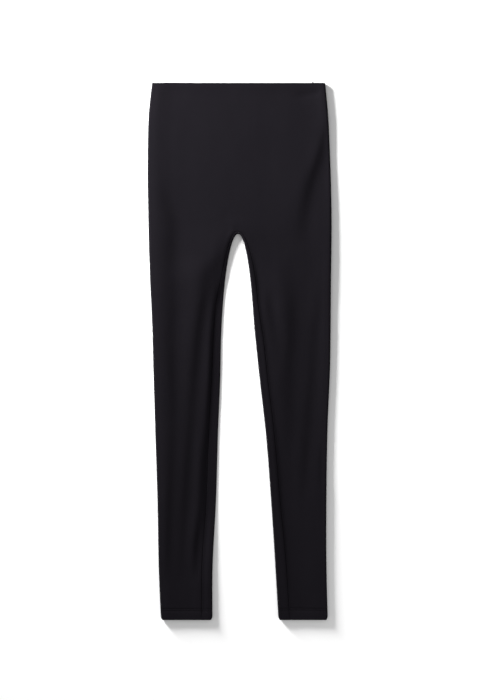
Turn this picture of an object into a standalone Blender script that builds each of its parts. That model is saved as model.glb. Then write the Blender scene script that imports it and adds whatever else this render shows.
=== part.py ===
"""Full-length leggings in a fine stretch knit, laid flat with the front up.

Frame: metres, +X to the right across the garment, +Y towards the waist, +Z up. The origin is on the
surface that the garment lies on, under the middle of its outline.

There are three cut pieces, each a wall of cloth. The front is in one piece over both legs, and runs
round the outer edges to the side seams underneath. Each back comes round the inner edge of its leg
on to the top, as far as the inseam, which is one line from hem to hem over the crotch. The waist and
the two hems are open.
"""

from typing import NamedTuple

import bmesh
import bpy
import numpy as np

MM = 0.001
LEFT, RIGHT = -1, 1

# Driving sizes
LENGTH = 966 * MM  # waist edge to hem
CROTCH_DOWN = 271.5 * MM  # waist edge to the top of the gap between the legs
CROTCH_X = -2.8 * MM  # the crotch lies a little left of the middle
WALL = 1.0 * MM
EDGE_RADIUS = 2.0 * MM  # outer radius of the cloth's bend round an edge
SEAM_GAP = 0.3 * MM  # between neighbouring pieces
SIDE_SEAM_INSET = 22 * MM  # side seams, underneath, in from the outer edges
UNDER_INSET = 5 * MM  # where the bend round an inner edge meets the flat underside
BACK_RISE = 1.5 * MM  # the back's waist edge over the front's, at the left end
BACK_RISE_END = 40 * MM  # the place across the waist where that rise ends
BACK_RISE_RUN = 200 * MM  # the width it takes to grow
HEM_TUCK = 2.5 * MM  # how far the cloth's edges draw in at a hem's corners
HEM_TUCK_RUN = 8 * MM

# The front's height over the surface, between its edges
SAG = 0.9 * MM  # how far the cloth sinks below its springy edges
SAG_NEAR, SAG_FAR = 10 * MM, 40 * MM  # insets between which it sinks
SWELL = 0.5 * MM  # a soft roll just inside each edge
SWELL_INSET, SWELL_WIDTH = 7 * MM, 6 * MM
RELIEF_FADE = 5 * MM  # inset over which folds die out at an edge
LOWEST_TOP, HIGHEST_TOP = 2.5 * MM, 5.9 * MM

# How finely the cloth is divided
TORSO_ROWS = 8
FRONT_COLUMNS = 12
BACK_COLUMNS = 3
LEG_ROW_STEP = 36 * MM
EDGE_ANGLES = np.radians((-90, -45, 0, 45, 90))


class Edges(NamedTuple):
    """Millimetres across from the middle of the two matching edges, at a distance down from the waist."""

    down: float
    left: float
    right: float


class Fold(NamedTuple):
    """A soft ridge, or a trough where its height is negative, in millimetres."""

    down: float
    across: float
    to_down: float
    to_across: float
    half_width: float
    height: float
    bow: float = 0.0


OUTER_EDGES = (
    Edges(0, -157.8, 153.9),
    Edges(50, -163.2, 158.7),
    Edges(130, -165.5, 162.7),
    Edges(240, -164.5, 165.5),
    Edges(365, -160.7, 164.4),
    Edges(430, -157.5, 163.9),
    Edges(500, -155.6, 163.1),
    Edges(625, -151.8, 158.2),
    Edges(755, -147.7, 156.2),
    Edges(885, -145.2, 156.6),
    Edges(966, -141.6, 158.8),
)

INNER_EDGES = (
    Edges(271.5, -2.8, -2.8),
    Edges(300, -17.0, 11.0),
    Edges(365, -27.2, 20.4),
    Edges(450, -33.1, 27.4),
    Edges(540, -35.2, 36.9),
    Edges(625, -38.8, 46.6),
    Edges(755, -42.7, 56.8),
    Edges(885, -48.9, 65.1),
    Edges(966, -48.8, 69.8),
)

# How far the inseam lies on to the top, in from each leg's inner edge
INSEAM_INSETS = (
    Edges(271.5, 3.0, 3.0),
    Edges(300, 3.2, 6.5),
    Edges(340, 5.5, 9.5),
    Edges(400, 12.0, 10.5),
    Edges(460, 13.5, 14.5),
    Edges(540, 15.5, 14.8),
    Edges(650, 16.5, 15.5),
    Edges(750, 17.0, 16.5),
    Edges(850, 17.0, 19.8),
    Edges(966, 17.5, 20.5),
)

FOLDS = (
    # the hip crease at the right and the lip beside it
    Fold(78, 159, 292, 109, 6, -1.3, -5),
    Fold(100, 163, 280, 132, 8, 0.8, -4),
    # the pull at the right end of the waist
    Fold(24, 96, 17, 146, 6, -0.5),
    Fold(2, 147, 62, 150, 8, 0.6),
    # left leg, from its outer edge to its inseam
    Fold(140, -146, 430, -122, 13, -0.8),
    Fold(330, -125, 905, -127, 10, -0.9),
    Fold(330, -99, 640, -110, 10, 0.9),
    Fold(560, -111, 905, -120, 8, 0.8),
    Fold(284, -27, 480, -78, 7, -1.0),
    Fold(430, -77, 905, -113, 7, -1.0, -3),
    Fold(320, -46, 560, -72, 7, 1.0),
    Fold(510, -68, 905, -99, 8, 1.0),
    Fold(390, -39, 740, -64, 5, -1.2),
    Fold(600, -61, 905, -87, 5, -1.0),
    # right leg, from its inseam to its outer edge
    Fold(290, 20, 650, 70, 6, 0.9, 5),
    Fold(345, 98, 660, 86, 10, -0.8),
    Fold(440, 112, 640, 107, 9, 0.7),
    Fold(350, 144, 700, 114, 8, -0.8, 4),
    Fold(250, 136, 420, 141, 11, 0.6),
)


def in_metres(table, side):
    """The stations and the places across of one side of a table."""
    values = [row.left if side == LEFT else row.right for row in table]
    return np.array([row.down for row in table]) * MM, np.array(values) * MM


def smooth_through(stations, values, at):
    """A cubic curve through the values, whose slope at a station comes from its neighbours."""
    slopes = np.gradient(values, stations)
    near = np.clip(np.searchsorted(stations, at, side="right") - 1, 0, len(stations) - 2)
    span = stations[near + 1] - stations[near]
    t = (at - stations[near]) / span
    ends = (1 + 2 * t) * (1 - t) ** 2 * values[near] + t**2 * (3 - 2 * t) * values[near + 1]
    bends = t * (1 - t) ** 2 * slopes[near] - t**2 * (1 - t) * slopes[near + 1]
    return ends + span * bends


def smooth_step(value, low, high):
    """0 up to low, 1 from high on, and a smooth rise between."""
    t = np.clip((value - low) / (high - low), 0, 1)
    return t * t * (3 - 2 * t)


def hem_tuck(down):
    """How far an edge draws in near the hem."""
    return HEM_TUCK * np.clip((down - LENGTH + HEM_TUCK_RUN) / HEM_TUCK_RUN, 0, 1) ** 2


def outer_edge(side, down):
    """Place across of a leg's or the torso's outer edge."""
    stations, values = in_metres(OUTER_EDGES, side)
    return smooth_through(stations, values, down) - side * hem_tuck(down)


def inner_edge(side, reach):
    """Place across of a leg's inner edge, where reach squared is the distance below the crotch.

    Worked from reach, the two edges meet at the crotch in a round arch.
    """
    stations, values = in_metres(INNER_EDGES, side)
    return smooth_through(np.sqrt(stations - CROTCH_DOWN), values, reach)


def inner_ray(side, down):
    """A point of the inner edge, as (across, down), and the unit direction from it into the cloth."""
    reach = np.sqrt(max(down - CROTCH_DOWN, 0))
    step = 0.001
    slope = (inner_edge(side, reach + step) - inner_edge(side, reach)) / step
    run = np.array([slope, 2 * reach])
    run /= np.linalg.norm(run)
    edge = np.array([inner_edge(side, reach) + side * hem_tuck(down), down])
    return edge, side * np.array([run[1], -run[0]])


def distance_to(line, points):
    """Shortest distance from each point to a line of points, both as (across, down)."""
    start, run = line[:-1], np.diff(line, axis=0)
    offset = points[..., None, :] - start
    along = np.clip((offset * run).sum(-1) / (run * run).sum(-1), 0, 1)
    return np.linalg.norm(offset - along[..., None] * run, axis=-1).min(-1)


def edge_lines():
    """The garment's outer edges and the arch of its inner edges, as lines of points."""
    down = np.linspace(0, LENGTH, 80)
    outer = [np.stack((outer_edge(side, down), down), -1) for side in (LEFT, RIGHT)]
    reach = np.linspace(0, np.sqrt(LENGTH - CROTCH_DOWN), 60)
    below = CROTCH_DOWN + reach**2
    left, right = (np.stack((inner_edge(side, reach), below), -1) for side in (LEFT, RIGHT))
    return [*outer, np.concatenate((left[::-1], right[1:]))]


EDGE_LINES = edge_lines()


def fold_height(fold, points):
    """What one fold adds to the front's height."""
    start = np.array([fold.across, fold.down]) * MM
    run = np.array([fold.to_across, fold.to_down]) * MM - start
    length = np.linalg.norm(run)
    run /= length
    offset = points - start
    along = np.clip(offset @ run / length, 0, 1)
    rise = np.sin(np.pi * along)
    beside = offset @ np.array([run[1], -run[0]]) - fold.bow * MM * rise
    return fold.height * MM * np.sqrt(rise) * np.exp(-((beside / (fold.half_width * MM)) ** 2))


def top_height(points):
    """Height of the front's outer face at points given as (across, down)."""
    inset = np.minimum.reduce([distance_to(line, points) for line in EDGE_LINES])
    relief = SWELL * np.exp(-(((inset - SWELL_INSET) / SWELL_WIDTH) ** 2))
    relief = relief - SAG * smooth_step(inset, SAG_NEAR, SAG_FAR)
    relief = relief + sum(fold_height(fold, points) for fold in FOLDS)
    relief = relief * smooth_step(inset, EDGE_RADIUS, EDGE_RADIUS + RELIEF_FADE)
    return np.clip(2 * EDGE_RADIUS + relief, LOWEST_TOP, HIGHEST_TOP)


def place(points, height):
    """World coordinates of points given as (across, down), at a height."""
    middle = (LENGTH - BACK_RISE) / 2
    return np.stack((points[..., 0], middle - points[..., 1], height), -1)


def round_edge(edge, into):
    """The bend round an edge, underside first, as outer and inner faces."""
    faces = []
    for radius in (EDGE_RADIUS, EDGE_RADIUS - WALL):
        inset = EDGE_RADIUS - radius * np.cos(EDGE_ANGLES)
        height = EDGE_RADIUS + radius * np.sin(EDGE_ANGLES)
        faces.append(place(edge + inset[:, None] * into, height))
    return faces


def underside(points):
    """Points on the flat underside, as outer and inner faces."""
    level = np.zeros(len(points))
    return [place(points, level), place(points, level + WALL)]


def topside(points):
    """Points on the top, as outer and inner faces."""
    height = top_height(points)
    return [place(points, height), place(points, height - WALL)]


def between(start, end, count):
    """Evenly spaced points from start to end, both included."""
    return start + np.linspace(0, 1, count + 1)[:, None] * (end - start)


def inseam_inset(side, down):
    """How far in from the inner edge the inseam lies."""
    return smooth_through(*in_metres(INSEAM_INSETS, side), down)


def leg_rows():
    """The rows of points from the crotch to the hem, each by its distance down at the inner edge and
    at the outer edge. They bunch at the crotch's arch, and spread out evenly at the outer edge."""
    arch = CROTCH_DOWN + np.array([0, 0.3, 1.2, 3.2, 8.4, 21, 47]) * MM
    count = round((LENGTH - HEM_TUCK_RUN - arch[-1]) / LEG_ROW_STEP)
    leg = np.linspace(arch[-1], LENGTH - HEM_TUCK_RUN, count + 1)[1:]
    hem = LENGTH - HEM_TUCK_RUN * np.array([0.5, 0.2, 0])
    outer_arch = np.linspace(CROTCH_DOWN - 12 * MM, arch[-1], len(arch))
    return list(zip([*arch, *leg, *hem], [*outer_arch, *leg, *hem], strict=True))


def torso_rows():
    """Distances down of the rows from the waist to just above the crotch."""
    return np.linspace(0, CROTCH_DOWN - 30 * MM, TORSO_ROWS)


def front_half(side, down, inner_end):
    """A row of the front, from its side seam to the point where it ends."""
    edge = np.array([outer_edge(side, down), down])
    into = np.array([-side, 0.0])
    seam = edge + (SIDE_SEAM_INSET - SEAM_GAP / 2) * into
    top = between(edge + EDGE_RADIUS * into, inner_end, FRONT_COLUMNS)[1:]
    parts = (underside(seam[None]), round_edge(edge, into), topside(top))
    return [np.concatenate(face) for face in zip(*parts, strict=True)]


def back_flat(side, down, inner_end):
    """A row of the back's underside, from its side seam to the point where it ends."""
    edge = np.array([outer_edge(side, down), down])
    seam = edge - side * np.array([SIDE_SEAM_INSET + SEAM_GAP / 2, 0])
    points = between(seam, inner_end, BACK_COLUMNS)
    if down == 0:
        grown = np.clip((BACK_RISE_END - points[:, 0]) / BACK_RISE_RUN, 0, 1)
        points[:, 1] -= BACK_RISE * grown
    return underside(points)


def back_turn(side, down):
    """A row of the back's bend round the leg's inner edge, and of the strip up to the inseam."""
    edge, into = inner_ray(side, down)
    seam = edge + (inseam_inset(side, down) - SEAM_GAP / 2) * into
    strip = between(edge + EDGE_RADIUS * into, seam, 2)[1:]
    parts = (round_edge(edge, into), topside(strip))
    return [np.concatenate(face) for face in zip(*parts, strict=True)]


class Cloth:
    """A wall of cloth in the making: matching points on its two faces, and the quads over them."""

    def __init__(self):
        self.outer = []
        self.inner = []
        self.quads = []

    def add(self, faces):
        """Takes a row of points on both faces and returns their numbers."""
        first = len(self.outer)
        self.outer.extend(faces[0])
        self.inner.extend(faces[1])
        return list(range(first, len(self.outer)))

    def join(self, row, next_row):
        """Puts quads between two rows of as many points."""
        for i in range(len(row) - 1):
            self.quads.append((row[i], next_row[i], next_row[i + 1], row[i + 1]))

    def join_all(self, rows):
        """Puts quads between each row and the next."""
        for row, next_row in zip(rows, rows[1:], strict=False):
            self.join(row, next_row)

    def rim(self):
        """The sides that only one quad has, where the wall's cut edge shows."""
        sides = {pair for q in self.quads for pair in zip(q, q[1:] + q[:1], strict=True)}
        return [(a, b) for a, b in sides if (b, a) not in sides]

    def build(self, name, finish):
        """Makes the closed wall as a named object with its own material."""
        mesh = bmesh.new()
        outer = [mesh.verts.new(point) for point in self.outer]
        inner = [mesh.verts.new(point) for point in self.inner]
        for quad in self.quads:
            mesh.faces.new([outer[i] for i in quad])
            mesh.faces.new([inner[i] for i in reversed(quad)])
        for a, b in sorted(self.rim()):
            mesh.faces.new((outer[b], outer[a], inner[a], inner[b]))
        bmesh.ops.recalc_face_normals(mesh, faces=mesh.faces)
        data = bpy.data.meshes.new(name)
        mesh.to_mesh(data)
        mesh.free()
        data.shade_smooth()
        data.set_sharp_from_angle(angle=np.radians(50))
        data.materials.append(finish)
        bpy.context.scene.collection.objects.link(bpy.data.objects.new(name, data))


def build_front(finish):
    """The front: whole rows over the torso, which part at the crotch into a row for each leg."""
    cloth = Cloth()
    crotch = np.array([CROTCH_X, CROTCH_DOWN - inseam_inset(LEFT, CROTCH_DOWN) - SEAM_GAP / 2])
    first_leg_row, *other_leg_rows = leg_rows()
    whole = []
    ends = [(down, np.array([CROTCH_X, down])) for down in torso_rows()]
    for down, end in [*ends, (first_leg_row[1], crotch)]:
        left = cloth.add(front_half(LEFT, down, end))
        right = cloth.add([face[:-1] for face in front_half(RIGHT, down, end)])
        whole.append(left + right[::-1])
    cloth.join_all(whole)
    middle = len(whole[-1]) // 2
    halves = {LEFT: whole[-1][: middle + 1], RIGHT: whole[-1][middle:][::-1]}
    for side, top_row in halves.items():
        rows = [top_row]
        for inner_down, outer_down in other_leg_rows:
            edge, into = inner_ray(side, inner_down)
            seam = edge + (inseam_inset(side, inner_down) + SEAM_GAP / 2) * into
            rows.append(cloth.add(front_half(side, outer_down, seam)))
        if side == RIGHT:
            rows = [row[::-1] for row in rows]
        cloth.join_all(rows)
    cloth.build("front", finish)


def build_back(side, name, finish):
    """One back: its underside from waist to hem, and its turn round the leg from the crotch down."""
    cloth = Cloth()
    middle = CROTCH_X + side * SEAM_GAP / 2
    flat = [
        cloth.add(back_flat(side, down, np.array([middle, down])))
        for down in torso_rows()
    ]
    turned = []
    for inner_down, outer_down in leg_rows():
        edge, into = inner_ray(side, inner_down)
        edge[0] = side * max(side * edge[0], side * middle)
        flat_row = cloth.add(back_flat(side, outer_down, edge + UNDER_INSET * into))
        faces = back_turn(side, inner_down)
        for face in faces:
            face[:, 0] = side * np.maximum(side * face[:, 0], side * middle)
        turned.append(flat_row + cloth.add(faces))
        flat.append(flat_row)
    cloth.join_all(flat[: TORSO_ROWS + 1])
    cloth.join_all(turned)
    cloth.build(name, finish)


def knit(name, colour, roughness):
    """A dark, slightly lustrous knit."""
    finish = bpy.data.materials.new(name)
    finish.use_nodes = True
    surface = finish.node_tree.nodes["Principled BSDF"]
    surface.inputs["Base Color"].default_value = (*colour, 1.0)
    surface.inputs["Roughness"].default_value = roughness
    surface.inputs["Metallic"].default_value = 0.0
    return finish


def main():
    """Clears the scene and makes the three pieces."""
    for old in list(bpy.data.objects):
        bpy.data.objects.remove(old)
    build_front(knit("front_knit", (0.0185, 0.0170, 0.0215), 0.62))
    build_back(LEFT, "back_left", knit("back_left_knit", (0.0180, 0.0165, 0.0210), 0.62))
    build_back(RIGHT, "back_right", knit("back_right_knit", (0.0180, 0.0165, 0.0210), 0.62))


main()
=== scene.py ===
"""Full-length leggings in a fine dark stretch knit, laid flat with the front up.

The garment is a front in one piece over both legs and two backs. The front runs round the outer
edges to side seams underneath, and each back comes round the inner edge of its leg on to the top,
as far as the inseam, which is one line from hem to hem over the crotch.

Each piece is a thin closed wall with a right side and a wrong side. Points are first worked out as
(across, down) from the middle of the waist edge, in metres, and then lifted to their height.
"""

import logging
from dataclasses import dataclass, field
from enum import Enum
from typing import NamedTuple, Self

import bpy
import numpy as np
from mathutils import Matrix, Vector, noise


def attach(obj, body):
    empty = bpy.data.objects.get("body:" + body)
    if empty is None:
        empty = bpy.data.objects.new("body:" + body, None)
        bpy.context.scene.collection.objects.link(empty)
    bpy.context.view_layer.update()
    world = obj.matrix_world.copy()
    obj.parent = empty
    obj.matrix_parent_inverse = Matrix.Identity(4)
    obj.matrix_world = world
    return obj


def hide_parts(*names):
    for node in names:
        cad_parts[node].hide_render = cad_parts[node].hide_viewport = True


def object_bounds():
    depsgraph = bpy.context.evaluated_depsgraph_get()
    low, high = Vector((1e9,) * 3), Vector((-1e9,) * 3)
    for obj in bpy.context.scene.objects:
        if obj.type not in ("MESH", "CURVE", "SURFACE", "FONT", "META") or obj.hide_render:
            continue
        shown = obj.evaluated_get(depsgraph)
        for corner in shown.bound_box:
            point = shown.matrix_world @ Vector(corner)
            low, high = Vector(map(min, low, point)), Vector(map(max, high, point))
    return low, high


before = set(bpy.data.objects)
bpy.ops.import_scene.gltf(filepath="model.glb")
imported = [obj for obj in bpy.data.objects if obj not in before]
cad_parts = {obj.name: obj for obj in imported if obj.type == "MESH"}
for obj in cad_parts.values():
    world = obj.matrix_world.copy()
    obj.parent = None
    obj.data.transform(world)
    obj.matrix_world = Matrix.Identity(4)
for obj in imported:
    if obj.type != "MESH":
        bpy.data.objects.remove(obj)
CAD_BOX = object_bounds()

MM = 0.001
LOG = logging.getLogger("leggings")
BEND_ANGLES = np.radians(np.arange(-67.5, 68, 22.5))
TURN_ANGLES = np.radians((180, 150, 120, 90, 60, 30))
SEAM_ANGLES = np.radians((90, 90, 60, 30))
Array = np.ndarray
Triple = tuple[float, float, float]
Material = bpy.types.Material
Piece = bpy.types.Object


class Side(Enum):
    """The two halves of the garment, by the sign of their places across."""

    LEFT = -1
    RIGHT = 1

    @property
    def outward(self) -> Array:
        """Unit direction away from the garment's middle, as (across, down)."""
        return np.array([self.value, 0.0])


class Face(Enum):
    """The two faces of the cloth."""

    RIGHT_SIDE = 0
    WRONG_SIDE = 1


class Edges(NamedTuple):
    """What the left and the right side have at a distance down from the waist, in millimetres."""

    down: float
    left: float
    right: float


class At(NamedTuple):
    """A station of a fold: its middle line, its half-width and how far the cloth falls, in millimetres."""

    down: float
    across: float
    half_width: float
    fall: float


def smooth_through(stations: Array, values: Array, at: Array) -> Array:
    """Draws a cubic curve whose slope at a station comes from its neighbours.

    Args:
        stations: Rising places along the curve.
        values: The curve's value at each station.
        at: The places to evaluate.

    Returns:
        The curve's values at those places, held at its ends.
    """
    slopes = np.gradient(values, stations)
    at = np.clip(at, stations[0], stations[-1])
    near = np.clip(np.searchsorted(stations, at, side="right") - 1, 0, len(stations) - 2)
    span = stations[near + 1] - stations[near]
    t = (at - stations[near]) / span
    ends = (1 + 2 * t) * (1 - t) ** 2 * values[near] + t**2 * (3 - 2 * t) * values[near + 1]
    bends = t * (1 - t) ** 2 * slopes[near] - t**2 * (1 - t) * slopes[near + 1]
    return ends + span * bends


def smooth_step(value: Array, low: float, high: float) -> Array:
    """Rises smoothly from 0 where a value is low to 1 where it is high."""
    t = np.clip((value - low) / (high - low), 0, 1)
    return t * t * (3 - 2 * t)


def bump_at(value: Array, middle: float, half_width: float) -> Array:
    """A bell of height 1 at a middle value, which falls to about a third a half-width away."""
    return np.exp(-(((value - middle) / half_width) ** 2))


def distance_to(line: Array, points: Array) -> Array:
    """Finds how far points are from a line.

    Args:
        line: The line's points, as (across, down).
        points: The points, as (across, down).

    Returns:
        The shortest distance from each point.
    """
    start, run = line[:-1], np.diff(line, axis=0)
    offset = points[..., None, :] - start
    along = np.clip((offset * run).sum(-1) / (run * run).sum(-1), 0, 1)
    return np.linalg.norm(offset - along[..., None] * run, axis=-1).min(-1)


def unit(vector: Array) -> Array:
    """A vector, or each of a list of vectors, at length 1."""
    return vector / np.linalg.norm(vector, axis=-1, keepdims=True)


def spread(start: Array, end: Array, columns: int, crowd: float = 1.0) -> Array:
    """Points from a start to an end, which crowd towards the end where crowd is over 1."""
    share = 1 - (1 - np.linspace(0, 1, columns + 1)[:, None]) ** crowd
    return start + share * (end - start)


def lift(points: Array, heights: Array | float) -> Array:
    """Adds heights to points given as (across, down)."""
    return np.column_stack((points, np.broadcast_to(heights, len(points))))


def make_mesh(name: str, points: list, polygons: list[tuple[int, ...]], finish: Material) -> bpy.types.Mesh:
    """Makes a smooth mesh in one finish.

    Args:
        name: Its name.
        points: Its points, in world metres.
        polygons: The points' numbers round each polygon.
        finish: Its material.

    Returns:
        The new mesh.
    """
    mesh = bpy.data.meshes.new(name)
    mesh.from_pydata([tuple(point) for point in points], [], polygons)
    mesh.validate()
    mesh.shade_smooth()
    mesh.materials.append(finish)
    LOG.info("%s: %d points, %d polygons", name, len(points), len(polygons))
    return mesh


def link(name: str, data: bpy.types.ID) -> Piece:
    """Puts a mesh, a light or a camera into the scene.

    Args:
        name: The new object's name.
        data: What it holds.

    Returns:
        The new object.
    """
    item = bpy.data.objects.new(name, data)
    bpy.context.scene.collection.objects.link(item)
    return item


@dataclass(frozen=True)
class Outline:
    """The garment's outline as it lies, and the lines of its seams."""

    length: float = 966 * MM
    crotch_down: float = 271.5 * MM
    crotch_across: float = -2.8 * MM
    hem_tuck: float = 2.5 * MM
    hem_tuck_run: float = 8 * MM
    back_rise: float = 1.5 * MM
    back_rise_end: float = 40 * MM
    back_rise_run: float = 200 * MM
    outer: tuple[Edges, ...] = (
        Edges(0, -157.8, 153.9), Edges(50, -163.2, 158.7), Edges(130, -165.5, 162.7),
        Edges(240, -164.5, 165.5), Edges(365, -160.7, 164.4), Edges(430, -157.5, 163.9),
        Edges(500, -155.6, 163.1), Edges(625, -151.8, 158.2), Edges(755, -147.7, 156.2),
        Edges(885, -145.2, 156.6), Edges(966, -141.6, 158.8),
    )
    inner: tuple[Edges, ...] = (
        Edges(271.5, -2.8, -2.8), Edges(300, -17.0, 11.0), Edges(365, -27.2, 20.4),
        Edges(450, -33.1, 27.4), Edges(540, -35.2, 36.9), Edges(625, -38.8, 46.6),
        Edges(755, -42.7, 56.8), Edges(885, -48.9, 65.1), Edges(966, -48.8, 69.8),
    )
    inseam_insets: tuple[Edges, ...] = (
        Edges(271.5, 4.4, 4.4), Edges(300, 4.8, 7.0), Edges(340, 6.5, 9.5),
        Edges(400, 12.0, 10.5), Edges(460, 13.5, 14.5), Edges(540, 15.5, 14.8),
        Edges(650, 16.5, 15.5), Edges(750, 17.2, 16.5), Edges(850, 18.8, 19.8),
        Edges(966, 19.5, 20.5),
    )

    @staticmethod
    def column(table: tuple[Edges, ...], side: Side) -> tuple[Array, Array]:
        """The stations of a table and the values of one of its sides, in metres."""
        down, left, right = np.array(table).T * MM
        return down, left if side is Side.LEFT else right

    def tuck(self, down: Array) -> Array:
        """How far an edge draws in near the hem, at each distance down."""
        share = (down - self.length + self.hem_tuck_run) / self.hem_tuck_run
        return self.hem_tuck * np.clip(share, 0, 1) ** 2

    def rise(self, across: Array) -> Array:
        """How far the back's waist edge stands over the front's, at each place across."""
        return self.back_rise * np.clip((self.back_rise_end - across) / self.back_rise_run, 0, 1)

    def outer_edge(self, side: Side, down: Array) -> Array:
        """Place across of an outer edge, at each distance down."""
        curve = smooth_through(*self.column(self.outer, side), down)
        return curve - side.value * self.tuck(down)

    def inner_edge(self, side: Side, reach: Array) -> Array:
        """Place across of an inner edge, where reach squared is the distance below the crotch."""
        stations, values = self.column(self.inner, side)
        return smooth_through(np.sqrt(stations - self.crotch_down), values, reach)

    def inner_ray(self, side: Side, down: float) -> tuple[Array, Array]:
        """Finds a point of a leg's inner edge and the way into the cloth from it.

        Args:
            side: The leg.
            down: Distance down of the point.

        Returns:
            The point and the unit direction, both as (across, down).
        """
        reach = np.sqrt(max(down - self.crotch_down, 0))
        step = 0.001
        slope = (self.inner_edge(side, reach + step) - self.inner_edge(side, reach)) / step
        run = unit(np.array([slope, 2 * reach]))
        edge = np.array([self.inner_edge(side, reach) + side.value * self.tuck(down), down])
        return edge, side.value * np.array([run[1], -run[0]])

    def inseam_inset(self, side: Side, down: Array) -> Array:
        """How far in from the inner edge the inseam lies, at each distance down."""
        return smooth_through(*self.column(self.inseam_insets, side), down)

    def outer_lines(self) -> list[Array]:
        """The two outer edges, as lines of points."""
        down = np.linspace(0, self.length, 80)
        return [np.stack((self.outer_edge(side, down), down), -1) for side in Side]

    def arch(self) -> Array:
        """Joins the two inner edges in one line over the crotch.

        Returns:
            Its points, as (across, down).
        """
        reach = np.linspace(0, np.sqrt(self.length - self.crotch_down), 60)
        below = self.crotch_down + reach**2
        left, right = (np.stack((self.inner_edge(side, reach), below), -1) for side in Side)
        return np.concatenate((left[::-1], right[1:]))


@dataclass(frozen=True)
class Fold:
    """A soft fold down the garment: the cloth falls to its right, and comes back slowly on both sides."""

    stations: tuple[At, ...]
    reach: float = 50 * MM

    def height(self, points: Array) -> Array:
        """Works out what the fold adds to the cloth's height.

        Args:
            points: Points of the top, as (across, down).

        Returns:
            The addition at each point.
        """
        down, across, half_width, fall = np.array(self.stations).T * MM
        at = points[..., 1]
        beside = points[..., 0] - smooth_through(down, across, at)
        slope = np.tanh(beside / np.interp(at, down, half_width)) * bump_at(beside, 0, self.reach)
        inside = (at >= down[0]) & (at < down[-1])
        return -0.5 * np.where(inside, smooth_through(down, fall, at), 0) * slope


@dataclass(frozen=True)
class Rim:
    """A low swelling along an edge, or a sinking where its height is negative."""

    height: float
    inset: float
    half_width: float

    def height_at(self, distance: Array) -> Array:
        """What the rim adds to the cloth's height, at each distance from the edge."""
        return self.height * bump_at(distance, self.inset, self.half_width)


@dataclass(frozen=True)
class Pull:
    """A small crease that runs across the cloth to a corner."""

    start: float
    end: float
    down_at_start: float
    down_at_end: float
    half_width: float
    height: float

    def height_at(self, points: Array) -> Array:
        """Works out what the pull adds to the cloth's height.

        Args:
            points: Points of the top, as (across, down).

        Returns:
            The addition at each point.
        """
        along = (points[..., 0] / MM - self.start) / (self.end - self.start)
        line = self.down_at_start + np.clip(along, 0, 1) * (self.down_at_end - self.down_at_start)
        strength = smooth_step(along, 0, 0.5) * (1 - smooth_step(along, 0.8, 1.0))
        return self.height * MM * strength * bump_at(points[..., 1] / MM, line, self.half_width)


class Wave(NamedTuple):
    """Slow waves of soft cloth: their sizes in metres, their layer of the noise, and their share."""

    across: float
    down: float
    layer: float
    share: float


class SeamAt(NamedTuple):
    """A station of an inseam, in millimetres.

    The strip from the seam to the inner edge stands higher than the front by its value, and the front
    dips beside the seam. The slope between them has a half-width, and a shift into the front.
    """

    down: float
    strip: float
    dip: float
    half_width: float
    shift: float


@dataclass(frozen=True)
class SeamSlope:
    """How the cloth slopes over an inseam, from the front to the strip beside the inner edge."""

    stations: tuple[SeamAt, ...]
    rim: Rim
    recovery: float = 26 * MM

    def height(self, inset: Array, beside: Array, down: Array) -> Array:
        """Works out what the slope and the edge's rim add to the cloth's height.

        Args:
            inset: Distance of each point from the leg's inner edge.
            beside: Its distance from the seam, positive on the front's side.
            down: Its distance down.

        Returns:
            The addition at each point.
        """
        at, strip, dip, half_width, shift = np.array(self.stations).T * MM
        front = 0.5 + 0.5 * np.tanh((beside - np.interp(down, at, shift)) / np.interp(down, at, half_width))
        sunk = smooth_through(at, dip, down) * bump_at(np.maximum(beside, 0), 0, self.recovery)
        return smooth_through(at, strip, down) * (1 - front) - sunk * front + self.rim.height_at(inset)


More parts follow.
